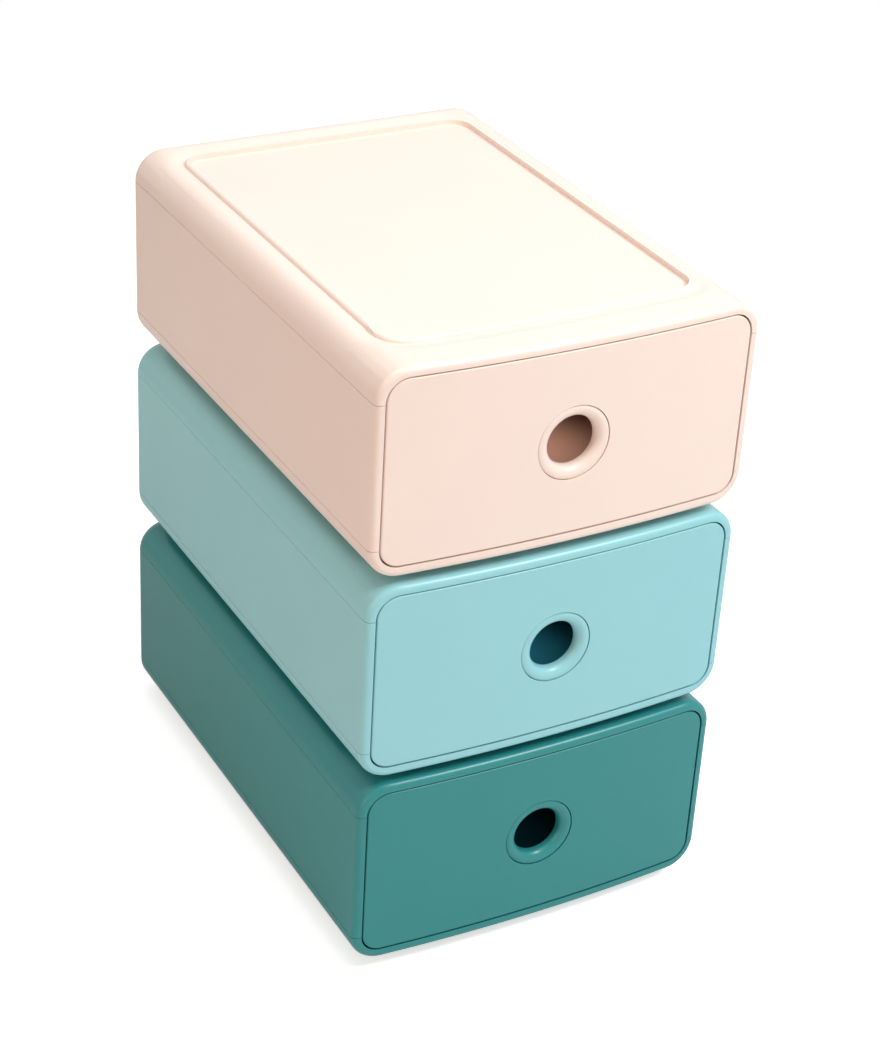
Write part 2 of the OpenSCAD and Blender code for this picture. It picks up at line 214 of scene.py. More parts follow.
def copy_of(piece, name):
    pick(piece)
    bpy.ops.object.duplicate(linked=False)
    twin = bpy.context.active_object
    twin.name = name
    return twin


def combine(piece, tool, how):
    """Joins, cuts or crosses a piece with a tool, which is used up by it."""
    pick(piece)
    cut = piece.modifiers.new("combine", "BOOLEAN")
    cut.operation = how
    cut.solver = "EXACT"
    cut.object = tool
    bpy.ops.object.modifier_apply(modifier=cut.name)
    bpy.data.objects.remove(tool, do_unlink=True)
    return piece


def only_between(piece, low, high):
    combine(piece, block("region", low, high), "INTERSECT")


# %% [markdown]
# ## The bowed form
# Seen from above, the front follows a circle of about a metre, and seen from
# the front, the section is a rounded oblong. A block gets its long edges
# rounded, is cut into upright stations, and the points of each station are
# pushed back along the circle.


# %% A form with a bowed front
def bow_at(x, inset=0.0):
    """The y of the bowed front at x, or of a line parallel to it inside."""
    radius = BOW - inset
    return BOW_Y - math.sqrt(radius * radius - x * x)


def bow_front(piece, inset, near, stations=24, reach=78.0):
    """Cuts the piece into stations and pushes what lies before near back."""
    places = [reach * (2 * i / stations - 1) for i in range(stations + 1)]
    cut_along(piece, [((x, 0, 0), (1, 0, 0)) for x in places])
    points = piece.data.vertices
    places = sorted({round(abs(v.co.x / MM), 3) for v in points if v.co.y / MM < near})
    for place in places:
        choose_points(piece, lambda p: p.y < near and abs(abs(p.x) - place) < 0.002)
        push = bow_at(place, inset) - (FRONT + inset)
        bpy.ops.transform.translate(value=(0, push * MM, 0))
    clear_selection()


def long_edge(level):
    """Chooses the edges that run from front to back at one height."""
    return lambda a, b: (
        abs(a.y - b.y) > 5 and abs(a.x - b.x) < 0.01
        and abs(a.z - level) < 0.01 and abs(b.z - level) < 0.01)


def bowed_form(name, half, inset, back, low, high, r_high, r_low, segments=12):
    piece = block(name, (-half, FRONT + inset, low), (half, back, high))
    round_edges(piece, long_edge(high), r_high, segments)
    round_edges(piece, long_edge(low), r_low, segments)
    bow_front(piece, inset, FRONT + inset + 0.5)
    return piece


# %% [markdown]
# The edges around the front and the back are rolled last. The roll of the
# back is wider along its top, so each edge there carries its own weight.


# %% Roll the edges of the outer form
def roll_front(piece, low, high, radius, segments=8):
    """Rounds the edge around the bowed front, but not the station lines."""
    tall = 0.9 * (high - low)
    return round_edges(
        piece,
        lambda a, b: abs(a.z - b.z) < tall and all(abs(p.y - bow_at(p.x)) < 0.02 for p in (a, b)),
        radius, segments)


def roll_back(piece, back, high, r_side, r_top, segments=8):
    """Rounds the edge around the flat back, wider along its top."""
    pick(piece)
    weights = piece.data.attributes.new("bevel_weight_edge", "FLOAT", "EDGE")
    points = piece.data.vertices
    for edge in piece.data.edges:
        a, b = (points[i].co / MM for i in edge.vertices)
        at_back = abs(a.y - back) < 0.01 and abs(b.y - back) < 0.01
        if at_back and abs(a.z - b.z) < 0.9 * high:
            climb = (a.z + b.z) / 2 - (high - TOP_R)
            share = min(max(climb / TOP_R, 0.0), 1.0)
            weights.data[edge.index].value = (r_side + (r_top - r_side) * share) / r_top
    soften = piece.modifiers.new("back roll", "BEVEL")
    soften.limit_method = "WEIGHT"
    soften.width = r_top * MM
    soften.segments = segments
    bpy.ops.object.modifier_apply(modifier=soften.name)


outer = bowed_form("outer_form", HALF, 0.0, BACK, 0.0, HEIGHT, TOP_R, LOW_R)
print("edges rolled around the front:", roll_front(outer, 0.0, HEIGHT, ROLL))
roll_back(outer, BACK, HEIGHT, BACK_R, BACK_ROLL)
print("outer form:", len(outer.data.polygons), "faces")

# %% [markdown]
# ## The hollow shell
# The inside is a second form, one wall smaller. Taking it and the opening for
# the drawer from the outer form leaves the whole case in one piece, which is
# then parted at the seams, where the real mouldings meet.

# %% Hollow the case and open its front
inner = bowed_form(
    "inner_form", HALF - WALL, WALL, BACK - WALL, WALL, HEIGHT - WALL,
    TOP_R - CORNER_WALL, LOW_R - CORNER_WALL, 8)
roll_back(inner, BACK - WALL, HEIGHT - WALL, BACK_R - WALL, BACK_ROLL - WALL, 6)
opening = block("opening", (-OPEN_W, FRONT - CLEAR, OPEN_LOW), (OPEN_W, FRONT + RIM_DEEP, OPEN_HIGH))
round_edges(opening, long_edge(OPEN_HIGH), TOP_R - RIM, 12)
round_edges(opening, long_edge(OPEN_LOW), LOW_R - LOW_RIM, 12)
shell = combine(outer, inner, "DIFFERENCE")
combine(shell, opening, "DIFFERENCE")
shell.name = "whole_shell"
print("shell:", len(shell.data.polygons), "faces")

# %% [markdown]
# ## The form of the tray
# The tray, the pan around it and the bead are the same outline, grown by
# different amounts. Its front edge runs parallel to the bowed front.


# %% Tray form
def tray_form(name, grow, low, high):
    front = TRAY_FRONT - grow
    piece = block(
        name, (-TRAY_HALF - grow, front, low), (TRAY_HALF + grow, TRAY_BACK + grow, high))
    round_edges(piece, lambda a, b: abs(a.z - b.z) > 1, TRAY_R + grow, 8)
    bow_front(piece, TRAY_INSET, front + TRAY_CORNER, stations=14, reach=66.0)
    return piece


# %% [markdown]
# ## Finishing a moulded piece
# No moulded edge is knife sharp. A narrow Bevel modifier breaks every sharp
# edge, so that it catches a line of light, and weighted normals keep the flat
# faces flat beside it.


# %% Break the edges
def finish_piece(piece, break_edge=0.3, segments=2):
    pick(piece)
    bpy.ops.object.mode_set(mode="EDIT")
    bpy.ops.mesh.select_all(action="SELECT")
    bpy.ops.mesh.remove_doubles(threshold=0.02 * MM)
    bpy.ops.mesh.dissolve_limited(angle_limit=math.radians(0.02))
    bpy.ops.mesh.normals_make_consistent(inside=False)
    bpy.ops.object.mode_set(mode="OBJECT")
    soften = piece.modifiers.new("edge", "BEVEL")
    soften.limit_method = "ANGLE"
    soften.angle_limit = math.radians(35)
    soften.width = break_edge * MM
    soften.segments = segments
    soften.use_clamp_overlap = True
    bpy.ops.object.modifier_apply(modifier=soften.name)
    bpy.ops.object.shade_smooth_by_angle(angle=math.radians(40))
    even = piece.modifiers.new("normals", "WEIGHTED_NORMAL")
    even.keep_sharp = True
    bpy.ops.object.modifier_apply(modifier=even.name)
    print(piece.name, "finished with", len(piece.data.polygons), "faces")
    return piece


# %% [markdown]
# ## Cover
# The top shell reaches down to the upper seam. A low bead runs around its
# tray. The top may not rise, so the surface around the bead settles instead:
# it gets a net of points, a weight for each point that fades away from the
# tray, and a Displace modifier that follows the weights.


# %% Let the top settle around the tray
def outside_tray(x, y):
    """How far a place on the top lies outside the edge of the tray."""
    across = abs(x) - (TRAY_HALF - TRAY_R)
    along = max(bow_at(x, TRAY_INSET) + TRAY_R - y, y - (TRAY_BACK - TRAY_R))
    if across < 0 or along < 0:
        return max(across, along) - TRAY_R
    return math.hypot(across, along) - TRAY_R


def top_at(x):
    """The height of the top and its shoulders at x."""
    reach = min(max(abs(x) - (HALF - TOP_R), 0.0), TOP_R)
    return HEIGHT - TOP_R + math.sqrt(TOP_R * TOP_R - reach * reach)


def settle_top(piece, step=2.0):
    side = TRAY_HALF - TRAY_R
    net = [((x, 0, 0), (1, 0, 0)) for i in range(7) for x in (side + step * i, -side - step * i)]
    net += [((0, FRONT + 12 + step * i, 0), (0, 1, 0)) for i in range(15)]
    net += [((0, BACK - 10 - step * i, 0), (0, 1, 0)) for i in range(13)]
    cut_along(piece, net)
    group = piece.vertex_groups.new(name="settled")
    for point in piece.data.vertices:
        x, y, z = point.co / MM
        share = (BEAD_W + 1 + BEAD_FADE - outside_tray(x, y)) / BEAD_FADE
        share = min(max(share, 0.0), 1.0)
        if abs(z - top_at(x)) < 0.1 and share > 0:
            group.add([point.index], share * share * (3 - 2 * share), "REPLACE")
    settle = piece.modifiers.new("settle", "DISPLACE")
    settle.direction = "Z"
    settle.mid_level = 0.0
    settle.strength = -BEAD_H * MM
    settle.vertex_group = group.name
    bpy.ops.object.modifier_apply(modifier=settle.name)


# %% [markdown]
# The bead is the form of the tray once more, a little larger, with its upper
# edge rolled. The tray is cut into it, and two ribs below stop the drawer.
# Parts that are joined overlap a little, so that no gap is left between them.

# %% Cover
cover = copy_of(shell, "cover")
only_between(cover, (-SIDE, -AHEAD, SEAM_HIGH + SEAM / 2), (SIDE, AHEAD, ABOVE))
settle_top(cover)
bead = tray_form("bead", BEAD_W, HEIGHT - BEAD_H - 0.3, HEIGHT)
rolled = round_edges(
    bead,
    lambda a, b: min(a.z, b.z) > HEIGHT - 0.01 and (abs(a.y - b.y) < 100 or abs(a.x) > TRAY_HALF),
    BEAD_H, 6)
print("edges rolled around the bead:", rolled)
combine(cover, bead, "UNION")
combine(cover, tray_form("pan", PAN_WALL, PAN, HEIGHT - BEAD_H - 0.2), "UNION")
combine(cover, tray_form("tray", 0.0, HEIGHT - TRAY_DEEP, HEIGHT + CLEAR), "DIFFERENCE")
for side in (-STOP_X, STOP_X):
    rib = block(
        "stop_rib", (side - RIB_HALF, RIB_FRONT, PAN - RIB_DOWN), (side + RIB_HALF, RIB_BACK, PAN + 0.5))
    combine(cover, rib, "UNION")
finish_piece(cover, 0.4, 3)

# %% [markdown]
# ## Base
# The bottom shell has runner ribs for the drawer and a hollow boss over each
# foot.

# %% Base
FOOT_X = TRAY_HALF - BOSS_R - BOSS_PLAY
FEET_Y = (bow_at(FOOT_X + BOSS_R, TRAY_INSET) + BOSS_R + BOSS_PLAY, TRAY_BACK - BOSS_R - BOSS_PLAY)
FEET = [(x, y) for x in (-FOOT_X, FOOT_X) for y in FEET_Y]
base = copy_of(shell, "base")
only_between(base, (-SIDE, -AHEAD, -CLEAR), (SIDE, AHEAD, SEAM_LOW - SEAM / 2))
for share in (-1, -3 / 8, 3 / 8, 1):
    x = RUNNER_OUT * share
    runner = block(
        "runner", (x - RUNNER_HALF, FRONT + 8, WALL - 0.5), (x + RUNNER_HALF, BACK - 6, TUB_LOW))
    combine(base, runner, "UNION")
for at in FEET:
    combine(base, post("boss", BOSS_R, BOSS_UP - FOOT_H, 1, at), "UNION")
    combine(base, post("hollow", PAD_R, PAD_T + BOSS_UP - FOOT_H, 20, at), "DIFFERENCE")
    combine(base, post("seat", PAD_R + PAD_PLAY, -10, PAD_T - FOOT_H, at), "DIFFERENCE")
finish_piece(base, 0.3)

# %% [markdown]
# ## Side panels and back panel
# The panels close the case between the seams. The side panels carry the
# upright back corners, and the back panel lies between them.

# %% Panels
PANEL_LOW, PANEL_HIGH = SEAM_LOW + SEAM / 2, SEAM_HIGH - SEAM / 2
EDGE_X = PANEL_X + SEAM / 2
panels = {}
for name, low_x, high_x in (("side_left", -SIDE, -EDGE_X), ("side_right", EDGE_X, SIDE)):
    panel = copy_of(shell, name)
    only_between(panel, (low_x, -AHEAD, PANEL_LOW), (high_x, AHEAD, PANEL_HIGH))
    panels[name] = finish_piece(panel, 0.3)
back = copy_of(shell, "back")
only_between(back, (-PANEL_X + SEAM / 2, 0, PANEL_LOW), (PANEL_X - SEAM / 2, AHEAD, PANEL_HIGH))
panels["back"] = finish_piece(back, 0.3)
bpy.data.objects.remove(shell, do_unlink=True)

# %% [markdown]
# ## Drawer front
# The front is a bowed plate with the corners of the opening. It is hollow
# behind, with a boss for the ring, and two pins place it on the tub. A stepped
# hole takes the finger ring.

# %% Drawer front
drawer_front = bowed_form(
    "drawer_front", F_HALF, 0.0, TUB_FRONT, F_LOW, F_HIGH, F_TOP_R, F_LOW_R)
roll_front(drawer_front, F_LOW, F_HIGH, F_ROLL, 4)
behind = bowed_form(
    "behind", F_HALF - F_RIM, F_WALL, TUB_FRONT + 2, F_LOW + F_RIM, F_HIGH - F_RIM,
    F_TOP_R - F_RIM, F_LOW_R - F_RIM, 8)
combine(drawer_front, behind, "DIFFERENCE")
RING_AT = (0.0, RING_Z)
boss = post("ring_boss", RING_R + 3, RING_Y + 1, RING_Y + BOSS_T, RING_AT, "Y")
combine(drawer_front, boss, "UNION")
for x in (-PIN_X, PIN_X):
    pin = post("pin", PIN_R, FRONT + 2, TUB_FRONT + 1.5, (x, RING_Z), "Y", 32)
    combine(drawer_front, pin, "UNION")
step = post("ring_step", RING_R + RING_PLAY, FRONT - 2, RING_Y + RING_SEAT, RING_AT, "Y", 128)
combine(drawer_front, step, "DIFFERENCE")
hole = post("ring_hole", SLEEVE_R + RING_PLAY, FRONT - 3, TUB_FRONT + 3, RING_AT, "Y", 128)
combine(drawer_front, hole, "DIFFERENCE")
finish_piece(drawer_front, 0.25)

# %% [markdown]
# The stations of the bow are flat strips, and a satin skin would show them.
# A plain bowed sheet with more stations lends its normals to the points that
# lie on the bow, through a Data Transfer modifier.

# %% Lend the normals of the true bow
sheet = block("true_bow", (-SIDE, FRONT, -20), (SIDE, FRONT + 10, ABOVE))
bow_front(sheet, 0.0, FRONT + 0.5, 40, 99.0)
pick(sheet)
bpy.ops.object.shade_smooth_by_angle(angle=math.radians(30))
pick(drawer_front)
points = drawer_front.data.vertices
bowed = [v.index for v in points if abs(v.co.y / MM - bow_at(v.co.x / MM)) < 0.01]
on_bow = drawer_front.vertex_groups.new(name="on_bow")
on_bow.add(bowed, 1.0, "REPLACE")
lend = drawer_front.modifiers.new("true normals", "DATA_TRANSFER")
lend.object = sheet
lend.use_loop_data = True
lend.data_types_loops = {"CUSTOM_NORMAL"}
lend.loop_mapping = "POLYINTERP_NEAREST"
lend.vertex_group = on_bow.name
bpy.ops.object.modifier_apply(modifier=lend.name)
bpy.data.objects.remove(sheet, do_unlink=True)
print("normals lent by the true bow:", len(bowed), "of", len(points), "points")

# %% [markdown]
# ## Finger ring
# The ring is a turned shape, so its section is traced point by point with
# extrude and then spun about the axis of the hole.


# %% Trace a section
def trace(name, points):
    """Starts with one point of a plane and extrudes it along the section."""
    clear_selection()
    bpy.ops.mesh.primitive_plane_add(size=MM, location=(0, 0, 0))
    piece = bpy.context.active_object
    piece.name = name
    bpy.ops.object.mode_set(mode="EDIT")
    bpy.ops.mesh.select_all(action="SELECT")
    bpy.ops.mesh.merge(type="CENTER")
    bpy.ops.mesh.select_all(action="SELECT")
    bpy.ops.transform.translate(value=[v * MM for v in points[0]])
    for here, there in zip(points, points[1:]):
        step = [(b - a) * MM for a, b in zip(here, there)]
        bpy.ops.mesh.extrude_region_move(TRANSFORM_OT_translate={"value": step})
    return piece


# %% [markdown]
# Each point of the section is a radius and a depth. The lip is an arc from
# the flat rim over the crown into the hole, and a small bead behind the
# drawer front snaps the sleeve in.

# %% Spin the ring
centre = HOLE_R + LIP_R
crown = math.asin((RING_R - 0.3 - centre) / LIP_R)
turns = [crown - (crown + math.pi / 2) * i / 20 for i in range(21)]
lip = [(centre + LIP_R * math.sin(t), RING_Y + LIP_R - LIP_R * math.cos(t)) for t in turns]
seat, boss_back = RING_Y + RING_SEAT, RING_Y + BOSS_T
snap_r = SLEEVE_R + SNAP
section = [(RING_R, seat), (RING_R, RING_Y + 0.8), (RING_R - 0.08, RING_Y + 0.58)]
section += lip
section += [
    (HOLE_R, boss_back + 1.6), (SLEEVE_R, boss_back + 1.6), (SLEEVE_R, boss_back + 1.15),
    (snap_r, boss_back + 1.0), (snap_r, boss_back + 0.15), (SLEEVE_R, boss_back + 0.15),
    (SLEEVE_R, seat), (RING_R, seat)]
ring = trace("ring", [(r, y, RING_Z) for r, y in section])
bpy.ops.mesh.select_all(action="SELECT")
bpy.ops.mesh.spin(steps=96, angle=2 * math.pi, center=(0, 0, RING_Z * MM), axis=(0, 1, 0))
bpy.ops.mesh.select_all(action="SELECT")
bpy.ops.mesh.remove_doubles(threshold=0.01 * MM)
bpy.ops.mesh.normals_make_consistent(inside=False)
pick(ring)
bpy.ops.object.shade_smooth_by_angle(angle=math.radians(40))
print("ring:", len(ring.data.polygons), "faces")

# %% [markdown]
# ## Tub
# The tub is an open box with rounded lower edges. Its front plate carries the
# drawer front and has a window for the ring, its side rims guide it in the
# opening, and two lugs behind meet the stop ribs.


# %% Body of the tub
def upright_at(back):
    """Chooses the tall upright edges on the plane of a back wall."""
    return lambda a, b: min(a.y, b.y) > back - 0.01 and abs(a.z - b.z) > 50


def rounded_box(name, half, front, back, low, high, r_low, r_back):
    piece = block(name, (-half, front, low), (half, back, high))
    round_edges(piece, long_edge(low), r_low, 8)
    round_edges(piece, upright_at(back), r_back, 6)
    return piece


tub = rounded_box(
    "tub", TUB_HALF, TUB_FRONT, TUB_BACK, TUB_LOW, TUB_TOP, TUB_R, TUB_BACK_R)
plate = block(
    "plate", (-F_HALF + PLATE_GAP, TUB_FRONT, TUB_LOW),
    (F_HALF - PLATE_GAP, TUB_FRONT + PLATE_T, F_HIGH - PLATE_GAP))
round_edges(plate, lambda a, b: abs(a.y - b.y) > 1 and min(a.z, b.z) > RING_Z, PLATE_TOP_R, 8)
round_edges(plate, lambda a, b: abs(a.y - b.y) > 1 and max(a.z, b.z) < RING_Z, PLATE_LOW_R, 8)
combine(tub, plate, "UNION")
for side in (-1, 1):
    near, far = sorted((side * (TUB_HALF - 1.7), side * (OPEN_W - REVEAL)))
    rim = block(
        "rim", (near, TUB_FRONT + 1, TUB_TOP - 2), (far, TUB_BACK - 8, TUB_TOP - 0.01))
    combine(tub, rim, "UNION")
hollow = rounded_box(
    "tub_hollow", TUB_HALF - TUB_WALL, TUB_FRONT + PLATE_T, TUB_BACK - TUB_WALL,
    TUB_LOW + TUB_WALL, ABOVE, TUB_R - TUB_WALL, TUB_BACK_R - TUB_WALL)
combine(tub, hollow, "DIFFERENCE")
print("tub:", len(tub.data.polygons), "faces before its stops")

# %% [markdown]
# The rear wall stands a little higher between the corners, and the lugs stand
# on it. They are 0.3 mm short of the ribs when the drawer is fully open.

# %% Stops and window of the tub
rear = block(
    "rear_wall", (-REAR_HALF, TUB_BACK - TUB_WALL, TUB_TOP - 1), (REAR_HALF, TUB_BACK, TUB_TOP + REAR_UP))
combine(tub, rear, "UNION")
for side in (-STOP_X, STOP_X):
    lug = block(
        "lug", (side - LUG_HALF, TUB_BACK - 5, TUB_TOP - 8), (side + LUG_HALF, TUB_BACK - 1.9, PAN - 1.5))
    combine(tub, lug, "UNION")
window = post("window", RING_R, TUB_FRONT - 3, TUB_FRONT + 6, RING_AT, "Y", 128)
combine(tub, window, "DIFFERENCE")
finish_piece(tub, 0.3)

# %% [markdown]
# ## Feet
# Four rubber pads stand proud of the bosses. Their lower edge is softened.

# %% Feet
pads = [post("pad", PAD_R, -FOOT_H, PAD_T - FOOT_H, at, sides=64) for at in FEET]
pick(pads[0])
for pad in pads[1:]:
    pad.select_set(True)
bpy.ops.object.join()
feet = bpy.context.active_object
feet.name = "feet"
finish_piece(feet, 0.5, 3)

# %% [markdown]
# ## Shader sums in plain Python
# A small class wraps a socket, so that an expression such as
# 0.75 + dust * 0.15 adds its Math nodes. Any other node comes from one method
# of the board, and the kinds that come back often have a method of their own.


# %% Shader helper
class Wire:
    """A value in the shader that can be used in sums."""

    def __init__(self, board, socket):
        self.board = board
        self.socket = socket

    def sum(self, operation, first, second):
        return self.board.add("ShaderNodeMath", {"operation": operation}, {0: first, 1: second})

    def __radd__(self, other):
        return self.sum("ADD", other, self)

    def __sub__(self, other):
        return self.sum("SUBTRACT", self, other)

    def __mul__(self, other):
        return self.sum("MULTIPLY", self, other)


class Board:
    """The nodes of a material or of the world."""

    def __init__(self, owner):
        owner.use_nodes = True
        self.tree = owner.node_tree
        self.tree.nodes.clear()

    def add(self, kind, settings=None, inputs=None, out=0):
        node = self.tree.nodes.new(kind)
        for key, value in (settings or {}).items():
            setattr(node, key, value)
        for key, value in (inputs or {}).items():
            if isinstance(value, Wire):
                self.tree.links.new(value.socket, node.inputs[key])
            else:
                node.inputs[key].default_value = value
        return Wire(self, node.outputs[out]) if node.outputs else None

    def noise(self, place, scale, detail):
        return self.add(
            "ShaderNodeTexNoise", {}, {"Vector": place, "Scale": scale, "Detail": detail})

    def span(self, value, low, high, at_low, at_high, shape="LINEAR"):
        """Goes from at_low to at_high while the value goes from low to high."""
        return self.add("ShaderNodeMapRange", {"interpolation_type": shape}, {
            "Value": value, "From Min": low, "From Max": high,
            "To Min": at_low, "To Max": at_high})

    def blend(self, factor, first, second):
        """A colour between the first, at factor 0, and the second, at 1."""
        return self.add(
            "ShaderNodeMix", {"data_type": "RGBA"}, {"Factor": factor, 6: first, 7: second}, out=2)


# %% [markdown]
# ## Satin moulded plastic
# The shells are an opaque plastic with a satin skin: a very fine grain from
# the mould, faint clouds from the flow of the melt, and edges a little lighter,
# partly worn and partly a painted highlight. The floor of a closed tub has
# painted light: a faint glow on the spot that is seen through the finger hole,
# in place of light falling in. The glow fades where ambient occlusion finds the
# tub open.

# %% Plastic
ROUGH, GRAIN = 0.32, 0.05


def seen_as(colour):
    """Colour as seen, 0 to 255, as a linear value for the shader."""
    linear = []
    for value in colour:
        value /= 255
        linear.append(value / 12.92 if value <= 0.04045 else ((value + 0.055) / 1.055) ** 2.4)
    return (*linear, 1.0)


def painted_light_pool(board, place, centre, colour, reach):
    """A painted glow of light around a centre, gone at its reach and in an open tub."""
    away = board.add("ShaderNodeVectorMath", {"operation": "DISTANCE"}, {0: place, 1: centre}, out=1)
    fall = board.span(away, 0.008, reach, 1.0, 0.0, "SMOOTHSTEP")
    openness = board.add("ShaderNodeAmbientOcclusion", {"samples": 4}, {"Distance": 0.4}, out=1)
    enclosed = board.span(openness, 0.03, 0.25, 1.0, 0.0)
    return board.blend(fall * enclosed, (0, 0, 0, 1), seen_as(colour))


def moulded_plastic(name, colour, worn_and_highlight_edge_colour, glow=None):
    """Satin plastic, with a painted glow of light given as its centre, colour and reach."""
    material = bpy.data.materials.new(name)
    board = Board(material)
    place = board.add("ShaderNodeTexCoord", out="Object")
    clouds = board.noise(place, 22.0, 3.0)
    fine = board.noise(place, 2600.0, 2.0)
    haze = board.noise(place, 160.0, 4.0)
    flat = board.add("ShaderNodeNewGeometry", out="Normal")
    soft = board.add("ShaderNodeBevel", {"samples": 4}, {"Radius": 0.0006})
    same = board.add("ShaderNodeVectorMath", {"operation": "DOT_PRODUCT"}, {0: flat, 1: soft}, out=1)
    # edges turn a little lighter: partly wear, partly a painted highlight
    edge_wear_and_highlight_mask = board.span(same, 0.995, 0.9, 0.0, 1.0)
    darker, lighter = ([min(c * share, 255) for c in colour] for share in (0.99, 1.01))
    tone = board.blend(clouds, seen_as(darker), seen_as(lighter))
    sockets = {
        "Base Color": board.blend(edge_wear_and_highlight_mask * 0.35, tone, seen_as(worn_and_highlight_edge_colour)),
        "Roughness": ROUGH - 0.02 + haze * 0.04 - edge_wear_and_highlight_mask * 0.02,
        "Normal": board.add(
            "ShaderNodeBump", {}, {"Strength": GRAIN, "Distance": 0.00008, "Height": fine}),
        "Specular IOR Level": 0.46,
    }
    if glow:
        # painted light: the tub floor glows, emitted by its own surface, in place of light falling
        # through the hole
        sockets["Emission Color"] = painted_light_pool(board, place, *glow)
        sockets["Emission Strength"] = 1.0
    surface = board.add("ShaderNodeBsdfPrincipled", {}, sockets)
    board.add("ShaderNodeOutputMaterial", {}, {"Surface": surface})
    return material


def foot_rubber():
    material = bpy.data.materials.new("pad_rubber")
    board = Board(material)
    place = board.add("ShaderNodeTexCoord", out="Object")
    dust = board.noise(place, 300.0, 4.0)
    tone = board.blend(dust, seen_as((70, 72, 74)), seen_as((100, 101, 102)))
    bump = board.add("ShaderNodeBump", {}, {"Strength": 0.4, "Distance": 0.0002, "Height": dust})
    surface = board.add(
        "ShaderNodeBsdfPrincipled", {},
        {"Base Color": tone, "Roughness": 0.75 + dust * 0.15, "Normal": bump})
    board.add("ShaderNodeOutputMaterial", {}, {"Surface": surface})
    return material


# %% [markdown]
# The colours are given as they are seen, first of the skin and then of its
# lighter edges, which are partly worn and partly a painted highlight. Each
# painted glow has a place in its tub, across and behind the front, a colour
# and a reach in metres.

# %% Colours and glows
# the second colour of each box is for its edges, partly wear and partly a painted highlight
COLOURS = {
    "lower": ("teal", (40, 136, 138), (80, 174, 179)),
    "middle": ("turquoise", (149, 210, 218), (190, 234, 240)),
    "upper": ("pink", (245, 226, 215), (252, 238, 230)),
}
# painted light: the place, colour and reach of the glow painted on each tub floor
PAINTED_GLOWS = {
    "lower": ((6, 52), (3, 19, 24), 0.044),
    "middle": ((10, 60), (22, 78, 92), 0.044),
    "upper": ((16, 72), (168, 122, 103), 0.052),
}
plastics, tub_plastics_with_painted_glow = {}, {}
for box, (word, skin, worn_and_highlight_edge_colour) in COLOURS.items():
    plastics[box] = moulded_plastic(f"satin_{word}", skin, worn_and_highlight_edge_colour)
for level, (box, (word, skin, worn_and_highlight_edge_colour)) in enumerate(COLOURS.items()):
    (across, deep), light, reach = PAINTED_GLOWS[box]
    tub_floor = FOOT_H + level * PITCH + TUB_LOW + TUB_WALL
    centre = (across * MM, (FRONT + deep) * MM, tub_floor * MM)
    # the tub's plastic carries the painted glow of light on its floor
    tub_plastics_with_painted_glow[box] = moulded_plastic(f"{word}_inside", skin, worn_and_highlight_edge_colour, (centre, light, reach))
rubber = foot_rubber()
print("materials:", [m.name for m in plastics.values()], rubber.name)

# %% [markdown]
# ## Three boxes from one
# Each finished piece is copied into each box, lifted to its level, and
# attached to the body that it rides on, and the solid that it stands for is
# hidden.

# %% Set up the stack
CASE = {"cover": cover, "base": base, **panels, "feet": feet}
DRAWER = {"tub": tub, "front": drawer_front, "ring": ring}
SLOTS = {
    "lower": "teal_plastic", "middle": "turquoise_plastic", "upper": "pink_plastic",
    "feet": "foot_rubber"}


def material_of(box, part):
    if part == "feet":
        return rubber
    return tub_plastics_with_painted_glow[box] if part == "tub" else plastics[box]


for level, box in enumerate(BOXES):
    for group, body in ((CASE, box + "_case"), (DRAWER, box + "_drawer")):
        for part, model in group.items():
            piece = copy_of(model, f"{box}_{part}_skin")
            piece.location = (0, 0, (FOOT_H + level * PITCH) * MM)
            bpy.ops.object.transform_apply(location=True, rotation=True, scale=True)
            piece.data.materials.clear()
            piece.data.materials.append(material_of(box, part))
            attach(piece, body)
            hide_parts(f"{box}_{part}")
            SLOTS[part if part == "feet" else box]
for group in (CASE, DRAWER):
    for model in group.values():
        bpy.data.objects.remove(model, do_unlink=True)
print("pieces:", len(BOXES) * (len(CASE) + len(DRAWER)))

# %% [markdown]
# ## Camera
# The photograph shows the stack from the front left and above. The camera
# stands where the seams of the three boxes meet their lines in the picture.
# Its focal length was found in pixels, for a frame 1056 pixels high, and its
# turn is an axis times an angle, for a view that looks along +Z with Y down.

# %% Camera
SENSOR = 36.0
FOCAL_PX, FRAME_PX = 2410.51, 1056
camera_data = bpy.data.cameras.new("camera")
camera = bpy.data.objects.new("camera", camera_data)
bpy.context.collection.objects.link(camera)
camera_data.sensor_width = SENSOR
camera_data.lens = SENSOR * FOCAL_PX / FRAME_PX
camera_data.clip_end = 20.0
camera_data.shift_x = -0.00085
turn = Vector((2.0583, -0.4840, 0.3499))
world_to_view = Matrix.Rotation(turn.length, 3, turn.normalized())
facing = world_to_view.transposed() @ Matrix.Diagonal((1, -1, -1))
camera.matrix_world = Matrix.Translation((-0.50875, -0.9098, 0.7566)) @ facing.to_4x4()
bpy.context.scene.camera = camera
print("camera at", [round(v, 3) for v in camera.location], "lens", round(camera_data.lens, 1))

# %% [markdown]
# ## Light
# The key light is a small panel high at the front right. A large panel
# overhead and a warm one at the left fill the shadows, as the photograph's
# sides are warmer than its fronts.


# %% Lights
def panel_light(name, place, size, power, tint=(1.0, 1.0, 1.0)):
    """A rectangular light that faces the middle of the stack."""
    data = bpy.data.lights.new(name, "AREA")
    data.shape = "RECTANGLE"
    data.size, data.size_y = size
    data.energy = power
    data.color = tint
    lamp = bpy.data.objects.new(name, data)
    bpy.context.collection.objects.link(lamp)
    lamp.location = place
    aim = Vector((0, 0, 0.16)) - Vector(place)
    lamp.rotation_euler = aim.to_track_quat("-Z", "Y").to_euler()
    return lamp


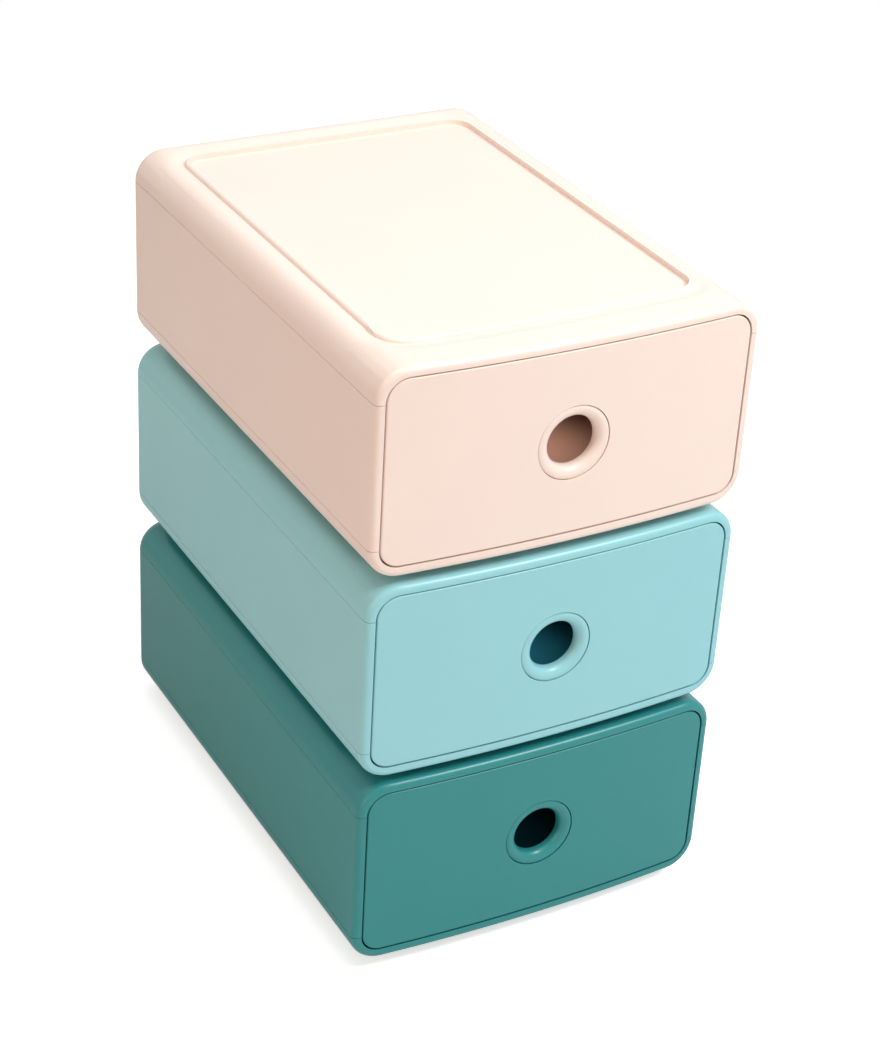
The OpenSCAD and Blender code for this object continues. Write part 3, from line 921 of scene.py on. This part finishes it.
lamps = [
    panel_light("key_right", (0.72, -0.95, 1.5), (0.5, 0.5), 19.5),
    panel_light("overhead", (-0.1, -0.1, 1.5), (1.4, 1.2), 9.5, (0.92, 0.99, 1.0)),
    panel_light("left", (-1.5, -0.7, 0.7), (1.0, 1.0), 6, (1.0, 0.52, 0.28)),
]
print("lights:", [(lamp.name, lamp.data.energy) for lamp in lamps])

# %% [markdown]
# The world is plain white for the camera and in mirrored views. As a light it
# is dimmer and a little warm.

# %% World
world = bpy.data.worlds.new("studio")
bpy.context.scene.world = world
board = Board(world)
sky = board.add("ShaderNodeBackground", {}, {"Color": (1.0, 0.98, 0.95, 1), "Strength": 0.29})
white = board.add("ShaderNodeBackground", {}, {"Color": (1, 1, 1, 1), "Strength": 1.0})
shown, glossy, through = (
    board.add("ShaderNodeLightPath", out=f"Is {kind} Ray")
    for kind in ("Camera", "Glossy", "Transmission"))
for kind in (glossy, through):
    shown = shown.sum("MAXIMUM", shown, kind)
backdrop = board.add("ShaderNodeMixShader", {}, {0: shown, 1: sky, 2: white})
board.add("ShaderNodeOutputWorld", {}, {"Surface": backdrop})
print("world:", len(world.node_tree.nodes), "nodes")

# %% [markdown]
# ## Floor
# A plain white floor keeps the shadow of the stack. A little of its white is
# added for the camera only, and far from the stack it is wholly white, so
# that it meets the white backdrop from every side.

# %% Floor
clear_selection()
bpy.ops.mesh.primitive_plane_add(size=8.0, location=(0, 0, -0.0002))
floor = bpy.context.active_object
floor.name = "floor"
bpy.ops.object.transform_apply(location=True, rotation=True, scale=True)
floor_white = bpy.data.materials.new("floor_white")
board = Board(floor_white)
seen = board.add("ShaderNodeLightPath", out="Is Camera Ray")
paint = board.add("ShaderNodeBsdfDiffuse", {}, {"Color": (0.9, 0.9, 0.9, 1)})
glow = board.add("ShaderNodeEmission", {}, {"Color": (1, 1, 1, 1), "Strength": 0.62})
near = board.add("ShaderNodeAddShader", {}, {0: paint, 1: glow})
place = board.add("ShaderNodeTexCoord", out="Object")
away = board.add("ShaderNodeVectorMath", {"operation": "LENGTH"}, {0: place}, out=1)
beyond = board.span(away, 0.4, 1.5, 0.0, 1.0, "SMOOTHSTEP")
blank = board.add("ShaderNodeEmission", {}, {"Color": (1, 1, 1, 1), "Strength": 1.0})
spread = board.add("ShaderNodeMixShader", {}, {0: beyond, 1: near, 2: blank})
surface = board.add("ShaderNodeMixShader", {}, {0: seen, 1: paint, 2: spread})
board.add("ShaderNodeOutputMaterial", {}, {"Surface": surface})
floor.data.materials.append(floor_white)

# %% [markdown]
# ## Finish
# The picture is rendered with the Standard view transform. The dressed model has to
# stay inside the box of the solids.

# %% Finish
bpy.context.scene.view_settings.view_transform = "Standard"
